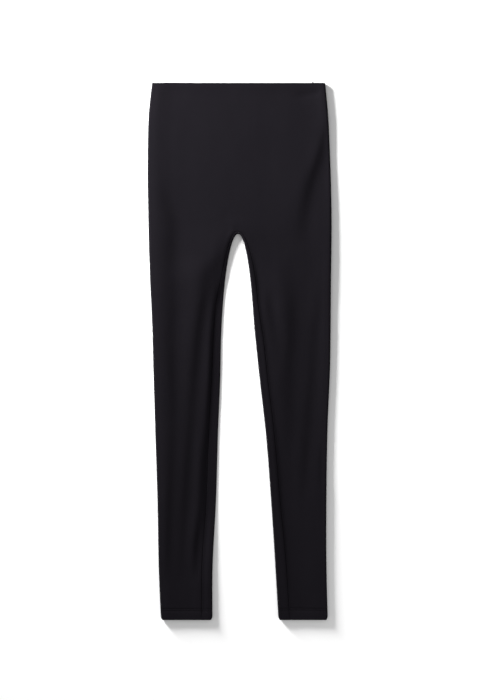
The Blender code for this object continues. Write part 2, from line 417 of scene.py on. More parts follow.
FOLDS = (
    # the crease at the right hip
    Fold((
        At(66, 154, 4, 0), At(90, 151, 4, 0.6), At(130, 144, 7, 2.1), At(170, 131, 9, 2.8),
        At(210, 121, 11, 2.3), At(240, 115, 11, 1.5), At(300, 106, 12, 0),
    ), 45 * MM),
    # over the crotch
    Fold((At(222, -27, 5, 0), At(243, -27, 5, 0.3), At(262, -24, 5, 0))),
    # the left leg, along the outer edge
    Fold((
        At(170, -140, 12, 0), At(210, -134, 12, 1.2), At(240, -125, 14, 2.2), At(300, -123, 13, 2.9),
        At(350, -124, 14, 2.4), At(400, -121, 13, 2.7), At(460, -123, 13, 3.0), At(520, -122, 10, 2.8),
        At(600, -121, 10, 1.7), At(680, -123, 8, 1.8), At(760, -127, 8, 2.4), At(840, -129, 7, 1.8),
        At(900, -129, 7, 0),
    )),
    # the left leg, over the inner thigh
    Fold((
        At(255, -30, 14, 0), At(300, -34, 14, 1.8), At(350, -48, 18, 3.2), At(385, -50, 14, 1.2),
        At(410, -52, 14, 0),
    ), 80 * MM),
    # down the middle of the left leg
    Fold((
        At(310, -54, 12, 0), At(350, -62, 11, 1.8), At(380, -64, 10, 2.8), At(400, -67, 9, 3.5),
        At(460, -75, 9.5, 3.9), At(520, -80.5, 9.5, 3.3), At(600, -87.5, 10, 2.6), At(680, -93.5, 9, 3.3),
        At(760, -98.5, 9, 3.3), At(840, -103, 8, 1.9), At(900, -104, 8, 0),
    )),
    # beside the left inseam, low on the leg
    Fold((
        At(560, -60, 9, 0), At(610, -61, 8, 0.8), At(680, -66, 7, 3.0), At(760, -70, 7, 3.2),
        At(840, -79, 6, 3.3), At(895, -80, 5, 0),
    ), 26 * MM),
    # beside the right inseam, high on the leg
    Fold((
        At(365, 50, 9, 0), At(400, 52, 8, 1.7), At(430, 57, 9, 1.4), At(465, 64, 12, 1.1),
        At(510, 68, 12, 0),
    ), 18 * MM),
    # down the middle of the right leg, and two beside it
    Fold((
        At(300, 84, 16, 0), At(350, 86, 15, 1.2), At(400, 91, 14, 3.0), At(460, 92, 13, 3.4),
        At(520, 87, 13, 3.2), At(600, 88, 12, 2.5), At(680, 88, 10, 0.8), At(740, 88, 10, 0),
    ), 55 * MM),
    Fold((
        At(350, 142, 10, 0), At(400, 140, 9, 1.0), At(460, 132, 9, 1.5), At(520, 129, 9, 1.9),
        At(600, 123, 9, 1.9), At(680, 117, 8, 1.6), At(750, 112, 8, 0),
    )),
    Fold((At(620, 150, 4, 0), At(680, 145, 4, 0.6), At(740, 143, 4, 0))),
    # the right leg, along the outer edge, where the cloth rises
    Fold((
        At(0, 143, 6, -0.6), At(40, 145, 6, -0.7), At(80, 149, 5, -0.3), At(120, 156, 5, -0.3),
        At(170, 156, 5, -0.5), At(240, 157, 6, -0.4), At(300, 153, 5, -0.5), At(350, 152, 5, -0.6),
        At(460, 149, 5, -0.5), At(520, 148, 5, -0.4), At(600, 146, 6, -0.4), At(680, 150, 4, -0.4),
        At(880, 149, 4, -0.3), At(966, 150, 4, -0.2),
    )),
)

LEFT_RIM = Rim(-0.5 * MM, 0, 9 * MM)
WAIST_PULL = Pull(90, 150, 27, 16, 5, -0.6)

SEAM_SLOPES = {
    Side.LEFT: SeamSlope((
        SeamAt(271.5, -0.4, 0, 7, 0), SeamAt(300, -2.0, 0, 9, 0), SeamAt(350, -2.2, 0, 8, 0),
        SeamAt(385, -3.6, 0, 5, 1), SeamAt(460, -4.2, -0.5, 4.8, 1.6), SeamAt(540, -4.4, -0.5, 4.8, 1.4),
        SeamAt(600, -4.5, 0, 5.5, 1.4), SeamAt(690, -4.5, 0, 6.2, 1.4), SeamAt(760, -3.2, 0, 5, 1.5),
        SeamAt(830, -1.6, 0, 3.8, 0.5), SeamAt(920, -0.9, 0, 3, 0), SeamAt(966, -0.4, 0, 3, 0),
    ), Rim(0.35 * MM, 8 * MM, 5 * MM)),
    Side.RIGHT: SeamSlope((
        SeamAt(271.5, 0, 0.2, 3, 0), SeamAt(310, 0.3, 0.7, 3, 0), SeamAt(350, 0.8, 1.3, 3.2, 0),
        SeamAt(400, 0.7, 1.1, 3, 0), SeamAt(560, 0.5, 0.8, 3, 0), SeamAt(680, 0.7, 1.3, 4, 0),
        SeamAt(760, 0.7, 1.3, 4, 0), SeamAt(840, 0.5, 0.9, 3, 0), SeamAt(966, 0.1, 0.3, 3, 0),
    ), Rim(0.3 * MM, 0, 4 * MM)),
}


@dataclass(frozen=True)
class Lie:
    """How the cloth lies: its thickness, its bends and the height of its top."""

    outline: Outline = Outline()
    cloth: float = 0.7 * MM
    edge_radius: float = 2 * MM
    edge_height: float = 6.9 * MM
    turn_radius: float = 0.78 * MM
    seam_radius: float = 0.75 * MM
    seam_wall: float = 0.3 * MM
    seam_gap: float = 0.2 * MM
    seam_setback: float = 0.9 * MM
    side_seam_inset: float = 22 * MM
    under_inset: float = 5 * MM
    sag: float = 0.7 * MM
    sag_run: tuple[float, float] = (10 * MM, 45 * MM)
    waviness: float = 0.14 * MM
    wave_sizes: tuple[Wave, ...] = (Wave(0.045, 0.075, 0.3, 1.0), Wave(0.021, 0.034, 7.1, 0.5))
    stitch_lines: tuple[float, float] = (20 * MM, 16.4 * MM)
    stitch_groove: float = 0.33 * MM
    groove_width: float = 0.8 * MM
    lowest_top: float = 2.1 * MM
    lowest_softness: float = 0.25 * MM
    crotch_blend: float = 12 * MM
    end_share: float = 0.35
    end_run: float = 22 * MM
    edge_lines: list[Array] = field(init=False, compare=False)

    def __post_init__(self) -> None:
        """Works out the edge lines once."""
        object.__setattr__(self, "edge_lines", [self.outline.arch(), *self.outline.outer_lines()])

    def waist(self) -> float:
        """World Y of the front's waist edge, which the left back's highest corner stands over."""
        corner = self.outline.outer_edge(Side.LEFT, np.array(0.0)) + self.side_seam_inset
        return CAD_BOX[1].y - float(self.outline.rise(corner))

    def to_world(self, points: Array) -> Array:
        """Turns points given as (across, down, height) into world metres."""
        return points * (1, -1, 1) + (0, self.waist(), 0)

    def groove(self, down: float) -> float:
        """How far the stitching draws the cloth in, at a distance down."""
        above = self.outline.length - down
        return self.stitch_groove * sum(bump_at(above, line, self.groove_width) for line in self.stitch_lines)

    def waves(self, points: Array) -> Array:
        """Works out the slow unevenness of soft cloth.

        Args:
            points: Points of the top, as (across, down).

        Returns:
            The addition to the cloth's height at each point.
        """
        heights = [
            sum(w.share * noise.noise(Vector((x / w.across, y / w.down, w.layer))) for w in self.wave_sizes)
            for x, y in points
        ]
        return self.waviness * np.array(heights)

    def seam_slope(self, points: Array, from_arch: Array) -> Array:
        """Works out how the cloth slopes over the inseam.

        Args:
            points: Points of the top, as (across, down).
            from_arch: Their distances from the inner edges.

        Returns:
            The addition to the cloth's height at each point.
        """
        half = self.crotch_blend
        right_share = smooth_step(points[:, 0] - self.outline.crotch_across, -half, half)
        heights = np.zeros(len(points))
        for side, share in ((Side.LEFT, 1 - right_share), (Side.RIGHT, right_share)):
            beside = from_arch - self.outline.inseam_inset(side, points[:, 1])
            heights += share * SEAM_SLOPES[side].height(from_arch, beside, points[:, 1])
        return heights

    def top(self, points: Array) -> Array:
        """Works out the height of the garment's top.

        Args:
            points: Points of the top, as (across, down).

        Returns:
            The height of each over the floor.
        """
        from_arch, from_left, from_right = (distance_to(line, points) for line in self.edge_lines)
        inset = np.minimum(from_arch, np.minimum(from_left, from_right))
        relief = LEFT_RIM.height_at(from_left) - self.sag * smooth_step(inset, *self.sag_run)
        relief = relief + sum(fold.height(points) for fold in FOLDS)
        relief = relief + WAIST_PULL.height_at(points) + self.waves(points)
        relief = relief + self.seam_slope(points, from_arch)
        from_end = np.minimum(points[:, 1], self.outline.length - points[:, 1])
        relief = relief * (self.end_share + (1 - self.end_share) * smooth_step(from_end, 0, self.end_run))
        over = (self.edge_height + relief - self.lowest_top) / self.lowest_softness
        return self.lowest_top + self.lowest_softness * np.logaddexp(0, over)

    def side_seam(self, side: Side, down: float, beyond: float) -> tuple[Array, Array]:
        """An outer edge's point, and the side seam's place a little beyond its line."""
        edge = np.array([float(self.outline.outer_edge(side, np.array(down))), down])
        return edge, edge - (self.side_seam_inset + beyond) * side.outward

    def inseam(self, side: Side, down: float, beyond: float) -> tuple[Array, Array, Array]:
        """Finds where a piece ends at the inseam.

        Args:
            side: The leg.
            down: Distance down of the inner edge's point.
            beyond: How far past the inseam's line the end is, into the front.

        Returns:
            The inner edge's point, the unit direction into the cloth, and the piece's end.
        """
        edge, into = self.outline.inner_ray(side, down)
        inset = self.outline.inseam_inset(side, np.array(down)) + beyond
        return edge, into, edge + inset * into

    def round_edge(self, edge: Array, into: Array, angles: Array, depth: float) -> Array:
        """Follows the cloth round an edge, between the underside and the top's height there.

        Args:
            edge: The point of the edge, as (across, down).
            into: Unit direction into the cloth.
            angles: Angles round the bend, over the level.
            depth: Depth below the garment's surface.

        Returns:
            Points as (across, down, height), one for each angle.
        """
        half = self.top((edge + self.edge_radius * into)[None])[0] / 2
        flat = edge + (self.edge_radius - (self.edge_radius - depth) * np.cos(angles))[:, None] * into
        return np.column_stack((flat, half + (half - depth) * np.sin(angles)))


@dataclass(frozen=True)
class Row:
    """One row of points across a piece, with values for the cloth's right side and its wrong side.

    The outer and inner ones are distances down at the row's two ends, and the depths are below the
    garment's surface. The place along is the grain's. The turn is 1 where seams turn in fully, and
    0 in a layer that is itself turned in.
    """

    outer: tuple[float, float]
    inner: tuple[float, float]
    depths: tuple[float, float]
    along: float
    turn: float = 1.0


@dataclass(frozen=True)
class Rows:
    """The rows of points, from the turned-in waist edge to the turned-up hems, in millimetres."""

    lie: Lie
    step: float = 5.5
    arch_rows: int = 16
    arch_reach: float = 47
    torso_end: float = 18
    fan_start: float = 12
    waist_turn: tuple[float, ...] = (25, 20, 14, 8, 4, 1.8)
    waist_rows: tuple[float, ...] = (0.78, 1.6, 3.2, 5.5, 8.5, 12, 16.5)
    hem_rows: tuple[float, ...] = (
        26, 24, 22.6, 21.6, 20.8, 20, 19.2, 18.2, 17.2, 16.4, 15.6, 14.4, 12, 9, 6.5, 4.2, 2.6, 1.5, 0.78,
    )
    hem_turn: tuple[float, ...] = (21.5, 20.8, 20, 19.2, 18.2, 17.2, 16.4, 15.6, 13, 9, 5, 2)

    def flat(self, down: float, inner: float | None = None) -> Row:
        """A row of the body of the garment, which may end lower at its inner end."""
        end, groove = down if inner is None else inner, self.lie.groove(down)
        return Row((down, down), (end, end), (groove, groove + self.lie.cloth), down)

    def even(self, start: float, end: float) -> Array:
        """Distances down between a start and an end, a step apart, without the start."""
        return np.linspace(start, end, round((end - start) / (self.step * MM)) + 1)[1:]

    def turned(self, edge: float, way: int, insets: tuple[float, ...]) -> list[Row]:
        """Makes the rows of a turned-in edge.

        Args:
            edge: Distance down of the folded edge.
            way: 1 where the body lies below the edge, and -1 where it lies above.
            insets: How far from the edge each row of the turned layer lies, the raw edge first.

        Returns:
            The rows, from the raw edge round the fold.
        """
        radius, cloth = self.lie.turn_radius, self.lie.cloth
        rows = []
        for inset in np.array(insets) * MM:
            down = edge + way * inset
            groove = self.lie.groove(down)
            along = edge - way * (inset - radius + (np.pi - 1) * radius)
            depths = (groove + 2 * radius, groove + 2 * radius - cloth)
            rows.append(Row((down, down), (down, down), depths, along, 0.0))
        for angle in TURN_ANGLES:
            own = (radius, radius - cloth)
            down = tuple(edge + way * (radius - r * np.sin(angle)) for r in own)
            depths = tuple(radius - r * np.cos(angle) for r in own)
            along = edge + way * (radius - radius * angle)
            rows.append(Row(down, down, depths, along, float(np.cos(angle / 2) ** 2)))
        return rows

    def torso(self) -> list[Row]:
        """Makes the rows from the waist's raw edge to just above the crotch.

        Returns:
            The rows, from the top down.
        """
        body = self.even(self.waist_rows[-1] * MM, self.lie.outline.crotch_down - self.torso_end * MM)
        below = (*np.array(self.waist_rows) * MM, *body)
        return self.turned(0.0, 1, self.waist_turn) + [self.flat(down) for down in below]

    def legs(self) -> list[Row]:
        """Makes the rows from the crotch to the hem's raw edge, fanned out round the crotch's arch.

        Returns:
            The rows, from the top down.
        """
        crotch, length = self.lie.outline.crotch_down, self.lie.outline.length
        share = np.linspace(0, 1, self.arch_rows + 1)
        reach, start = self.arch_reach * MM, self.fan_start * MM
        fan = zip(crotch - start + share * (reach + start), crotch + reach * share**2, strict=True)
        close = length - np.array(self.hem_rows) * MM
        leg = self.even(crotch + reach, close[0])[:-1]
        rows = [self.flat(*ends) for ends in fan] + [self.flat(down) for down in (*leg, *close)]
        return rows + self.turned(length, -1, self.hem_turn)[::-1]


@dataclass(frozen=True)
class Layer:
    """One face of the cloth in one row, and the stretches that its points are made of.

    The stretches take places as (across, down) and unit directions into the piece, and are points
    as (across, down, height).
    """

    lie: Lie
    row: Row
    face: Face

    @property
    def outer(self) -> float:
        """Distance down at the outer edge."""
        return self.row.outer[self.face.value]

    @property
    def inner(self) -> float:
        """Distance down at the inner end."""
        return self.row.inner[self.face.value]

    @property
    def depth(self) -> float:
        """Depth below the garment's surface."""
        return self.row.depths[self.face.value]

    @property
    def seam_end(self) -> float:
        """Inset from a seam's line at which the turn ends and the flat cloth starts."""
        return self.lie.seam_radius + self.lie.seam_setback * (1 - self.row.turn)

    def seam_turn(self, seam: Array, into: Array) -> tuple[Array, Array]:
        """Works out how the cloth turns in at a seam.

        Args:
            seam: The piece's end at the seam.
            into: Unit direction from there into the piece.

        Returns:
            Places and their added depths, from the deepest outwards.
        """
        lie, turn, wrong = self.lie, self.row.turn, self.face.value
        own = lie.seam_radius - lie.cloth * turn * wrong
        inset = lie.seam_radius - own * np.sin(SEAM_ANGLES) + lie.seam_setback * (1 - turn)
        wall = np.array((lie.seam_wall, 0, 0, 0))
        depth = lie.seam_radius - own * np.cos(SEAM_ANGLES) - lie.cloth * wrong + wall
        return seam + inset[:, None] * into, depth * turn

    def seam_on_top(self, seam: Array, into: Array) -> Array:
        """The turn at a seam on the garment's top, which ends at the deepest point."""
        flat, depth = self.seam_turn(seam, into)
        return lift(flat, self.lie.top(flat) - self.depth - depth)[::-1]

    def seam_below(self, seam: Array, into: Array) -> Array:
        """The turn at a seam on the underside, which starts at the deepest point."""
        flat, depth = self.seam_turn(seam, into)
        return lift(flat, self.depth + depth)

    def underside(self, start: Array, end: Array, columns: int) -> Array:
        """The flat stretch on the floor, with both its ends."""
        return lift(spread(start, end, columns), self.depth)

    def bend(self, edge: Array, into: Array) -> Array:
        """The bend round an edge, underside first, without its two ends."""
        return self.lie.round_edge(edge, into, BEND_ANGLES, self.depth)

    def topside(self, start: Array, end: Array, columns: int, crowd: float) -> Array:
        """The stretch on the garment's top, with both its ends."""
        flat = spread(start, end, columns, crowd)
        return lift(flat, self.lie.top(flat) - self.depth)


class Wall:
    """A wall of cloth in the making: matching points on its two faces, and the quads over them."""

    def __init__(self, lie: Lie) -> None:
        """Starts empty, for cloth that lies in this way."""
        self.lie = lie
        self.faces: dict[Face, list[Array]] = {face: [] for face in Face}
        self.grain: list[tuple[float, float]] = []
        self.quads: list[tuple[int, ...]] = []

    def add(self, faces: dict[Face, Array], row: Row, start: float, way: int) -> list[int]:
        """Takes a row of points.

        Args:
            faces: The points on both faces, as (across, down, height).
            row: The row, for its place along the cloth.
            start: Place across the grain of the first point.
            way: 1 where the grain's places rise along the row, and -1 where they fall.

        Returns:
            The points' numbers.
        """
        first = len(self.grain)
        for face, points in faces.items():
            self.faces[face].extend(self.lie.to_world(points))
        right = faces[Face.RIGHT_SIDE]
        steps = np.linalg.norm(np.diff(right, axis=0), axis=1)
        places = start + way * np.concatenate(([0], np.cumsum(steps)))
        self.grain.extend(zip(places, row.along + (right[:, 1] - row.outer[0]), strict=True))
        return list(range(first, len(self.grain)))

    def join(self, rows: list[list[int]]) -> None:
        """Puts quads between each row of numbers and the next."""
        for row, below in zip(rows, rows[1:], strict=False):
            self.quads.extend(zip(row[:-1], below[:-1], below[1:], row[1:], strict=True))

    def rim(self) -> list[tuple[int, int]]:
        """The sides that only one quad has, where the cloth's cut edge shows."""
        sides = {pair for q in self.quads for pair in zip(q, q[1:] + q[:1], strict=True)}
        return sorted((a, b) for a, b in sides if (b, a) not in sides)

    def build(self, name: str, finish: Material, outward: bool) -> Piece:
        """Makes the closed wall.

        Args:
            name: The piece's name.
            finish: The cloth's material.
            outward: Whether the quads as joined already face out of the garment.

        Returns:
            The new piece.
        """
        count = len(self.grain)
        points = [*self.faces[Face.RIGHT_SIDE], *self.faces[Face.WRONG_SIDE]]
        quads = [q if outward else q[::-1] for q in self.quads]
        wrong = [tuple(i + count for i in reversed(q)) for q in quads]
        rim = [(b, a) if outward else (a, b) for a, b in self.rim()]
        sides = [(a, b, b + count, a + count) for a, b in rim]
        mesh = make_mesh(name, points, [*quads, *wrong, *sides], finish)
        corners = np.zeros(len(mesh.loops), np.int32)
        mesh.loops.foreach_get("vertex_index", corners)
        grain = np.array(self.grain * 2)[corners].astype(np.float32)
        mesh.uv_layers.new(name="grain").data.foreach_set("uv", grain.ravel())
        mesh.set_sharp_from_angle(angle=np.radians(55))
        return link(name, mesh)


@dataclass(frozen=True)
class Front:
    """The front, in one piece over both legs."""

    lie: Lie
    rows: Rows
    finish: Material
    name: str = "front_panel"
    under_columns: int = 3
    top_columns: int = 64
    turn_columns: int = 4
    most_crowd: float = 0.5
    crowd_run: tuple[float, float] = (150 * MM, 300 * MM)

    def crowd(self, down: float) -> float:
        """How much the columns crowd inwards at a distance down: not at all near the waist."""
        return 1 + self.most_crowd * float(smooth_step(np.array(down), *self.crowd_run))

    def inseam(self, side: Side, row: Row) -> tuple[Array, Array]:
        """The front's end at the inseam in a row, and the direction from it into the front."""
        _, into, seam = self.lie.inseam(side, row.inner[0], self.lie.seam_gap / 2)
        return seam, into

    def add_half(
        self, wall: Wall, row: Row, side: Side, inseam: tuple[Array, Array] | None, shared: list[int]
    ) -> list[int]:
        """Adds half a row to the wall, from its side seam inwards.

        Args:
            wall: The wall in the making.
            row: The row.
            side: The half.
            inseam: The inseam's place in this row and the direction from it into the front, or
                nothing where the row runs to the middle.
            shared: Numbers of the last points, where the other half has them already.

        Returns:
            The points' numbers.
        """
        lie, out, made = self.lie, side.outward, {}
        for face in Face:
            layer = Layer(lie, row, face)
            edge, side_seam = lie.side_seam(side, layer.outer, -lie.seam_gap / 2)
            flat_end = edge - lie.edge_radius * out
            parts = [
                layer.seam_below(side_seam, out),
                layer.underside(side_seam + layer.seam_end * out, flat_end, self.under_columns),
                layer.bend(edge, -out),
            ]
            if inseam is None:
                middle = np.array([lie.outline.crotch_across, layer.outer])
                parts.append(layer.topside(flat_end, middle, self.top_columns, self.crowd(layer.outer)))
            else:
                seam, into = inseam
                end = seam + layer.seam_end * into
                parts.append(layer.topside(flat_end, end, self.top_columns, self.crowd(row.inner[0])))
                parts.append(layer.seam_on_top(seam, into))
            made[face] = np.concatenate(parts)
        right = made[Face.RIGHT_SIDE]
        start = right[-1, 0] + side.value * np.linalg.norm(np.diff(right, axis=0), axis=1).sum()
        own = {face: points[: len(points) - len(shared)] for face, points in made.items()}
        return wall.add(own, row, start, -side.value) + shared

    def build(self) -> Piece:
        """Makes the front: whole rows over the torso, which part at the crotch.

        Returns:
            The new piece.
        """
        wall, turn, whole = Wall(self.lie), self.turn_columns, []
        for row in self.rows.torso():
            left = self.add_half(wall, row, Side.LEFT, None, [])
            right = self.add_half(wall, row, Side.RIGHT, None, left[-1:])
            whole.append(left + right[-2::-1])
        crotch, *legs = self.rows.legs()
        apex = (self.inseam(Side.LEFT, crotch)[0], np.array([0.0, -1.0]))
        left = self.add_half(wall, crotch, Side.LEFT, apex, [])
        right = self.add_half(wall, crotch, Side.RIGHT, apex, left[-1 - turn:])
        wall.join([*whole, left[:-turn] + right[-2 - turn::-1]])
        for side, first in ((Side.LEFT, left), (Side.RIGHT, right)):
            rows = [first, *(self.add_half(wall, row, side, self.inseam(side, row), []) for row in legs)]
            wall.join([row[:: -side.value] for row in rows])
        return wall.build(self.name, self.finish, outward=True)


@dataclass(frozen=True)
class Back:
    """One back: its underside from waist to hem, and its turn round the leg from the crotch down."""

    lie: Lie
    rows: Rows
    finish: Material
    side: Side
    name: str
    under_columns: int = 14
    top_columns: int = 12
    top_crowd: float = 1.4
    turn_columns: int = 4
    rise_run: float = 60 * MM

    @property
    def middle(self) -> float:
        """Place across of this back's edge at the centre-back seam."""
        return self.lie.outline.crotch_across + self.side.value * self.lie.seam_gap / 2

    def flat_part(self, layer: Layer, end: Array) -> Array:
        """Makes a row's turn at the side seam and its stretch on the floor.

        Args:
            layer: The face of the cloth in the row.
            end: Where the stretch ends, as (across, down).

        Returns:
            Points as (across, down, height), from the side seam inwards.
        """
        inward = -self.side.outward
        _, seam = self.lie.side_seam(self.side, layer.outer, self.lie.seam_gap / 2)
        flat = layer.underside(seam + layer.seam_end * inward, end, self.under_columns)
        return np.concatenate((layer.seam_below(seam, inward), flat))

    def torso_row(self, layer: Layer) -> Array:
        """Makes a row between the side seam and the centre-back seam, a little higher at the waist.

        Args:
            layer: The face of the cloth in the row.

        Returns:
            Points as (across, down, height), from the side seam inwards.
        """
        seam, out = np.array([self.middle, layer.outer]), self.side.outward
        flat = self.flat_part(layer, seam + layer.seam_end * out)
        points = np.concatenate((flat, layer.seam_below(seam, out)[::-1]))
        share = 1 - smooth_step(points[:, 1], 0, self.rise_run)
        points[:, 1] -= self.lie.outline.rise(points[:, 0]) * share
        return points

    def leg_row(self, layer: Layer) -> Array:
        """Makes a row of the underside, the turn round the inner edge and the strip on top.

        Args:
            layer: The face of the cloth in the row.

        Returns:
            Points as (across, down, height), kept on this back's side of the centre-back seam.
        """
        lie, side = self.lie, self.side.value
        edge, into, seam = lie.inseam(self.side, layer.inner, -lie.seam_gap / 2)
        rim = edge + lie.edge_radius * into
        points = np.concatenate((
            self.flat_part(layer, edge + lie.under_inset * into),
            lift(rim[None], layer.depth),
            layer.bend(edge, into),
            layer.topside(rim, seam - layer.seam_end * into, self.top_columns, self.top_crowd),
            layer.seam_on_top(seam, -into),
        ))
        points[:, 0] = side * np.maximum(side * points[:, 0], side * self.middle)
        return points

    def build(self) -> Piece:
        """Makes the back.

        Returns:
            The new piece.
        """
        wall, way, legs = Wall(self.lie), -self.side.value, self.rows.legs()
        added: list[list[list[int]]] = []
        for rows, make in ((self.rows.torso(), self.torso_row), (legs, self.leg_row)):
            added.append([])
            for row in rows:
                faces = {face: make(Layer(self.lie, row, face)) for face in Face}
                added[-1].append(wall.add(faces, row, faces[Face.RIGHT_SIDE][0, 0], way))
        torso, turned = added
        flat_columns = self.turn_columns + self.under_columns + 1
        crotch = {}
        for face in Face:
            layer = Layer(self.lie, legs[0], face)
            seam = np.array([self.middle, self.leg_row(layer)[flat_columns - 1, 1]])
            crotch[face] = layer.seam_below(seam, self.side.outward)[::-1]
        extra = wall.add(crotch, legs[0], self.middle, way)
        wall.join([*torso, turned[0][:flat_columns] + extra])
        wall.join(turned)
        return wall.build(self.name, self.finish, outward=self.side is Side.RIGHT)


class Threads:
    """A mesh of many short threads in the making."""

    def __init__(self) -> None:
        """Starts empty."""
        self.points: list[Array] = []
        self.polygons: list[tuple[int, ...]] = []

    def add(self, line: Array, radii: Array, up: Triple, sides: int = 6) -> None:
        """Adds one closed thread.

        Args:
            line: Its middle line, in world metres.
            radii: Its radius at each point of the line.
            up: A direction that isn't along the thread.
            sides: How many sides it has.
        """
        run = unit(np.gradient(line, axis=0))
        across = unit(np.cross(run, up))
        normal = np.cross(across, run)
        angles = np.linspace(0, 2 * np.pi, sides, endpoint=False)
        first = len(self.points)
        for point, radius, a, n in zip(line, radii, across, normal, strict=True):
            self.points.extend(point + radius * (np.outer(np.cos(angles), a) + np.outer(np.sin(angles), n)))
        rings = np.arange(first, len(self.points)).reshape(-1, sides).tolist()
        for low, high in zip(rings, rings[1:], strict=False):
            for j in range(sides):
                k = (j + 1) % sides
                self.polygons.append((low[j], low[k], high[k], high[j]))
        self.polygons.extend((tuple(rings[0][::-1]), tuple(rings[-1])))

    def build(self, name: str, finish: Material) -> Piece:
        """The joined mesh, under its name and in its finish."""
        return link(name, make_mesh(name, self.points, self.polygons, finish))


@dataclass(frozen=True)
class HemStitching:
    """The twin rows of stitches that hold a hem, all round a leg."""

    lie: Lie
    finish: Material
    side: Side
    name: str
    stitch: float = 2.7 * MM
    space: float = 0.8 * MM
    radius: float = 0.24 * MM
    sunk: float = 0.2 * MM
    sunk_below: float = 0.26 * MM
    columns: int = 90
    bend_points: int = 7
    taper: tuple[float, ...] = (0.45, 0.95, 1.0, 0.95, 0.45)

    def loop(self, down: float) -> Array:
        """Follows the cloth round the leg.

        Args:
            down: Distance down of the row of stitches.

        Returns:
            A closed line of world points, on the cloth's surface.
        """
        lie, into = self.lie, self.side.outward
        inner, _ = lie.outline.inner_ray(self.side, down)
        outer, _ = lie.side_seam(self.side, down, 0)
        across = np.linspace(0, 1, self.columns)[:, None]
        flat = inner + lie.edge_radius * into + across * (outer - inner - 2 * lie.edge_radius * into)
        angles = np.radians(np.linspace(90, -90, self.bend_points + 2)[1:-1])
        top = lift(flat, lie.top(flat) - self.sunk)
        return lie.to_world(np.concatenate((
            top,
            lie.round_edge(outer, -into, angles, self.sunk),
            lift(flat[::-1], self.sunk_below),
            lie.round_edge(inner, into, angles[::-1], self.sunk),
            top[:1],
        )))

    def build(self) -> Piece:
        """Makes the stitches of both rows.

        Returns:
            The new piece.
        """
        threads, points = Threads(), len(self.taper)
        for number, above in enumerate(self.lie.stitch_lines):
            line = self.loop(self.lie.outline.length - above)
            reach = np.concatenate(([0], np.cumsum(np.linalg.norm(np.diff(line, axis=0), axis=1))))
            count = round(reach[-1] / (self.stitch + self.space))
            for i in range(count):
                start = (i + 0.5 * number) * reach[-1] / count
                at = (start + np.linspace(0, self.stitch, points)) % reach[-1]
                stitch = np.stack([np.interp(at, reach, line[:, axis]) for axis in range(3)], -1)
                threads.add(stitch, self.radius * np.array(self.taper), (0, 1, 0))
        return threads.build(self.name, self.finish)


@dataclass(frozen=True)
class SeamEnd:
    """The end of the right side seam, which stands up a little over the waist edge."""

    lie: Lie
    finish: Material
    name: str = "side_seam_end"
    half_width: float = 1.3 * MM
    half_thickness: float = 0.5 * MM
    height: float = 1.85 * MM
    stands: float = 2.3 * MM
    starts: float = 7 * MM
    wind_space: float = 0.7 * MM
    wind_radius: float = 0.16 * MM
    wind_margin: float = 0.3 * MM
    wind_width: float = 1.05
    wind_height: float = 1.25
    wind_slant: float = 0.25 * MM
    thread_shift: float = 0.62
    waver: float = 0.15 * MM
    waver_run: float = 1.4 * MM
    tip_start: float = 0.8
    tip_width: float = 0.6

    def build(self) -> Piece:
        """Makes the rounded end of the seam allowance and the threads wound over it.

        Returns:
            The new piece.
        """
        threads = Threads()
        across = self.lie.side_seam(Side.RIGHT, 0.0, 0)[1][0]
        down = np.linspace(self.starts, -self.stands, 8)
        radii = self.half_thickness * np.where(down < -self.stands * self.tip_start, self.tip_width, 1.0)
        for shift in np.array((-1, 0, 1)) * self.thread_shift * self.half_width:
            waver = self.waver * np.sin(down / self.waver_run)
            line = lift(np.column_stack((across + shift + waver, down)), self.height)
            threads.add(self.lie.to_world(line), radii, (0, 0, 1))
        angles = np.linspace(0, 2 * np.pi, 13)
        for wind in np.arange(self.wind_margin, self.stands - self.wind_margin, self.wind_space):
            line = np.column_stack((
                across + self.half_width * self.wind_width * np.cos(angles),
                -wind - self.wind_slant * np.sin(angles / 2),
                self.height + self.half_thickness * self.wind_height * np.sin(angles),
            ))
            threads.add(self.lie.to_world(line), np.full(len(angles), self.wind_radius), (0, 1, 0))
        return threads.build(self.name, self.finish)


class Value:
    """A number in a material, which adds Math nodes as it is reckoned with."""

    def __init__(self, tree: "Tree", socket: bpy.types.NodeSocket) -> None:
        """Wraps an output socket of a node in the tree."""
        self.tree = tree
        self.socket = socket

    def math(self, operation: str, *others: "Value | float", first: bool = True) -> "Value":
        """Adds a Math node.

        Args:
            operation: The node's operation.
            others: The other numbers that it takes.
            first: Whether this value comes before the others.

        Returns:
            The node's result.
        """
        values = (self, *others) if first else (*others, self)
        node = self.tree.node("ShaderNodeMath", {"operation": operation}, dict(enumerate(values)))
        return Value(self.tree, node.outputs[0])

    def __add__(self, other: "Value | float") -> "Value":
        """This plus another."""
        return self.math("ADD", other)

    def __sub__(self, other: "Value | float") -> "Value":
        """This less another."""
        return self.math("SUBTRACT", other)

    def __rsub__(self, other: float) -> "Value":
        """A number less this."""
        return self.math("SUBTRACT", other, first=False)

    def __mul__(self, other: "Value | float") -> "Value":
        """This times another."""
        return self.math("MULTIPLY", other)

    __radd__ = __add__
    __rmul__ = __mul__

    def __abs__(self) -> "Value":
        """This without its sign."""
        return self.math("ABSOLUTE")


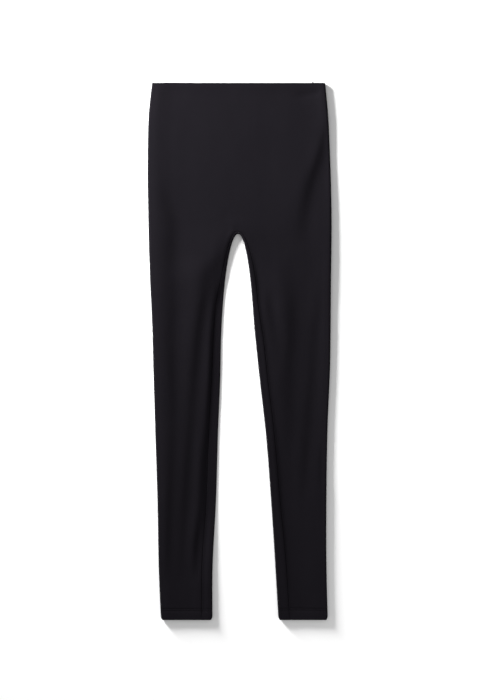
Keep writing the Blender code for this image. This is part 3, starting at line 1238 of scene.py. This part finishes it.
class Tree:
    """The node tree of a new material."""

    def __init__(self, name: str) -> None:
        """Starts a material that holds its output node only."""
        self.material = bpy.data.materials.new(name)
        self.material.use_nodes = True
        self.nodes = self.material.node_tree.nodes
        self.nodes.clear()
        self.output = self.nodes.new("ShaderNodeOutputMaterial")

    def node(self, kind: str, settings: dict[str, object], inputs: dict[int | str, object]) -> bpy.types.Node:
        """Adds a node.

        Args:
            kind: The node's type.
            settings: Its own settings, which are set first.
            inputs: Values or links of its sockets, by number or name.

        Returns:
            The new node.
        """
        node = self.nodes.new(kind)
        for name, setting in settings.items():
            setattr(node, name, setting)
        for key, given in inputs.items():
            source = given.socket if isinstance(given, Value) else given
            if isinstance(source, bpy.types.NodeSocket):
                self.material.node_tree.links.new(source, node.inputs[key])
            else:
                node.inputs[key].default_value = source
        return node

    def grain(self) -> tuple[Value, Value]:
        """Finds the cloth's own places.

        Returns:
            The places across and along its grain, in metres.
        """
        uv = self.node("ShaderNodeUVMap", {"uv_map": "grain"}, {})
        parts = self.node("ShaderNodeSeparateXYZ", {}, {0: uv.outputs["UV"]})
        return Value(self, parts.outputs[0]), Value(self, parts.outputs[1])

    def cloudiness(self, scale: float, detail: float, stretch: Triple) -> Value:
        """Makes soft noise in the object's own space.

        Args:
            scale: Clouds to a metre.
            detail: How much finer noise it holds.
            stretch: How many times closer the clouds are along each axis.

        Returns:
            The noise, from 0 to 1.
        """
        place = self.node("ShaderNodeTexCoord", {}, {}).outputs["Object"]
        scaled = self.node("ShaderNodeVectorMath", {"operation": "MULTIPLY"}, {0: place, 1: stretch})
        inputs = {"Vector": scaled.outputs[0], "Scale": scale, "Detail": detail, "Roughness": 0.55}
        clouds = self.node("ShaderNodeTexNoise", {"noise_dimensions": "3D"}, inputs)
        return Value(self, clouds.outputs["Fac"])

    def relief(self, height: Value, distance: float, strength: float) -> bpy.types.NodeSocket:
        """A normal that follows a height, which is worth a distance at 1."""
        inputs = {"Strength": strength, "Distance": distance, "Height": height}
        return self.node("ShaderNodeBump", {}, inputs).outputs["Normal"]

    def blend(self, share: Value, low: Triple, high: Triple) -> bpy.types.NodeSocket:
        """Two colours mixed, by the share of the second."""
        inputs = {0: share, 6: (*low, 1.0), 7: (*high, 1.0)}
        return self.node("ShaderNodeMix", {"data_type": "RGBA"}, inputs).outputs[2]

    def surface(self, inputs: dict[int | str, object]) -> Material:
        """Adds the shader and joins it to the output.

        Args:
            inputs: Values or links of its sockets.

        Returns:
            The finished material.
        """
        shader = self.node("ShaderNodeBsdfPrincipled", {}, inputs)
        self.material.node_tree.links.new(shader.outputs[0], self.output.inputs["Surface"])
        return self.material


@dataclass(frozen=True)
class KnitFinish:
    """A fine, dense jersey with a soft lustre."""

    name: str
    shade: Triple = (0.0053, 0.0047, 0.0061)
    light: Triple = (0.0065, 0.0058, 0.0073)
    tint: Triple = (0.84, 0.74, 1.0)
    roughness: float = 0.63
    specular: float = 0.03
    wale: float = 0.62 * MM
    course: float = 0.48 * MM
    slant: float = 0.42
    swell: float = 0.28
    cloud_share: float = 0.8
    fibre_dye_and_loop_shade_share: float = 0.12
    loop_height: float = 0.05 * MM

    def material(self) -> Material:
        """Makes the material: rows of knitted loops, with uneven dye and lustre, and painted shade between
        the loops.

        Returns:
            The material.
        """
        tree = Tree(self.name)
        across, along = tree.grain()
        beside = abs((across * (1 / self.wale)).math("FRACT") * 2.0 - 1.0)
        phase = (along * (1 / self.course) + beside * self.slant) * (2 * np.pi)
        loops = (1.0 - beside * beside) * (phase.math("SINE") * self.swell + (1 - self.swell))
        clouds = tree.cloudiness(22.0, 3.0, (1.0, 0.45, 1.0))
        fibres = tree.cloudiness(900.0, 2.0, (1.0, 0.4, 1.0))
        # The loops also lighten the colour on their crests and darken it between the wales, which is painted
        # shade in the knit's grooves. The clouds and fibres are uneven dye.
        share = clouds * self.cloud_share + loops * self.fibre_dye_and_loop_shade_share + fibres * self.fibre_dye_and_loop_shade_share
        return tree.surface({
            "Base Color": tree.blend(share, self.shade, self.light),
            "Roughness": clouds * 0.08 + fibres * 0.06 + self.roughness,
            "Specular IOR Level": self.specular,
            "Specular Tint": (*self.tint, 1.0),
            "Normal": tree.relief(loops + fibres * 0.35, self.loop_height, 0.7),
        })


@dataclass(frozen=True)
class ThreadFinish:
    """A matt sewing thread, a little darker than the cloth."""

    name: str = "sewing_thread"
    shade: Triple = (0.0034, 0.0031, 0.0039)
    light: Triple = (0.0050, 0.0045, 0.0056)
    roughness: float = 0.62
    specular: float = 0.03
    strand_height: float = 0.05 * MM

    def material(self) -> Material:
        """Makes the material: twisted strands with uneven dye.

        Returns:
            The material.
        """
        tree = Tree(self.name)
        strands = tree.cloudiness(2600.0, 2.0, (1.0, 1.0, 1.0))
        return tree.surface({
            "Base Color": tree.blend(strands, self.shade, self.light),
            "Roughness": strands * 0.15 + self.roughness,
            "Specular IOR Level": self.specular,
            "Normal": tree.relief(strands, self.strand_height, 0.5),
        })


@dataclass(frozen=True)
class FloorFinish:
    """A plain pale studio floor."""

    name: str = "pale_floor"
    shade: Triple = (0.94, 0.94, 0.94)
    light: Triple = (0.96, 0.96, 0.96)

    def material(self) -> Material:
        """Makes the material: matt paper with a faint unevenness.

        Returns:
            The material.
        """
        tree = Tree(self.name)
        clouds = tree.cloudiness(3.0, 2.0, (1.0, 1.0, 1.0))
        return tree.surface({
            "Base Color": tree.blend(clouds, self.shade, self.light),
            "Roughness": clouds * 0.1 + 0.8,
            "Specular IOR Level": 0.1,
        })


class Softbox(NamedTuple):
    """A rectangular soft light: where it stands and points, its size, power and spread in degrees."""

    name: str
    place: Triple
    target: Triple
    size: tuple[float, float]
    power: float
    spread: float = 180.0


@dataclass(frozen=True)
class Studio:
    """The floor, the lights, the surroundings and the camera."""

    floor_size: float = 8.0
    camera_place: Triple = (0.0187, 0.0018, 3.2)
    sensor: float = 36.0
    view_height: float = 1.26
    level: float = 0.0025
    surroundings: float = 0.48
    lights: tuple[Softbox, ...] = (
        Softbox("key", (-1.45, 1.4, 0.39), (0.3, 1.4, 0.3), (0.9, 0.74), 365.0),
        Softbox("corner_wash", (1.3, -1.3, 0.6), (0.75, -0.85, 0.0), (0.3, 0.3), 1.2, 60.0),
    )

    def build_floor(self) -> None:
        """Makes the floor, which isn't part of the object."""
        half = self.floor_size / 2
        corners = [(-half, -half, 0), (half, -half, 0), (half, half, 0), (-half, half, 0)]
        floor = link("floor", make_mesh("floor", corners, [(0, 1, 2, 3)], FloorFinish().material()))

    def build_light(self, box: Softbox) -> None:
        """Makes one soft light.

        Args:
            box: What it is like and where it stands.
        """
        data = bpy.data.lights.new(box.name, "AREA")
        data.shape = "RECTANGLE"
        data.size, data.size_y = box.size
        data.energy = box.power
        data.spread = np.radians(box.spread)
        light = link(box.name, data)
        light.location = box.place
        aim = Vector(box.target) - Vector(box.place)
        light.rotation_euler = aim.to_track_quat("-Z", "Y").to_euler()

    def build_camera(self) -> None:
        """Makes the camera, straight above the garment."""
        data = bpy.data.cameras.new("camera")
        data.sensor_width = self.sensor
        data.lens = self.sensor * (self.camera_place[2] - self.level) / self.view_height
        data.clip_start, data.clip_end = 0.05, 50.0
        camera = link("camera", data)
        camera.location = self.camera_place
        bpy.context.scene.camera = camera

    def build_world(self) -> None:
        """Makes even white surroundings."""
        world = bpy.data.worlds.new("surroundings")
        world.use_nodes = True
        background = world.node_tree.nodes["Background"]
        background.inputs["Color"].default_value = (1.0, 1.0, 1.0, 1.0)
        background.inputs["Strength"].default_value = self.surroundings
        bpy.context.scene.world = world

    def build(self) -> None:
        """Makes everything round the garment."""
        self.build_floor()
        for box in self.lights:
            self.build_light(box)
        self.build_camera()
        self.build_world()
        bpy.context.scene.view_settings.view_transform = "Standard"


@dataclass(frozen=True)
class Leggings:
    """The whole garment, built round the CAD model."""

    lie: Lie = Lie()

    def build(self) -> None:
        """Makes the pieces in order, says what each rides on, and hides the CAD model's front and backs."""
        lie, rows = self.lie, Rows(self.lie)
        cloth = KnitFinish("front_jersey").material()
        back_cloth = KnitFinish("back_jersey").material()
        thread = ThreadFinish().material()
        front = Front(lie, rows, cloth).build()
        left = Back(lie, rows, back_cloth, Side.LEFT, "left_back_panel").build()
        right = Back(lie, rows, back_cloth, Side.RIGHT, "right_back_panel").build()
        left_hem = HemStitching(lie, thread, Side.LEFT, "left_hem_stitches").build()
        right_hem = HemStitching(lie, thread, Side.RIGHT, "right_hem_stitches").build()
        seam_end = SeamEnd(lie, thread).build()
        for piece in (front, left, right, left_hem, right_hem, seam_end):
            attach(piece, "root")
        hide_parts("front")
        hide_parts("back_left")
        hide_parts("back_right")


def main() -> None:
    """Builds the garment and the studio."""
    logging.basicConfig(level=logging.INFO, format="%(name)s: %(message)s")
    Leggings().build()
    Studio().build()


if __name__ == "__main__":
    main()
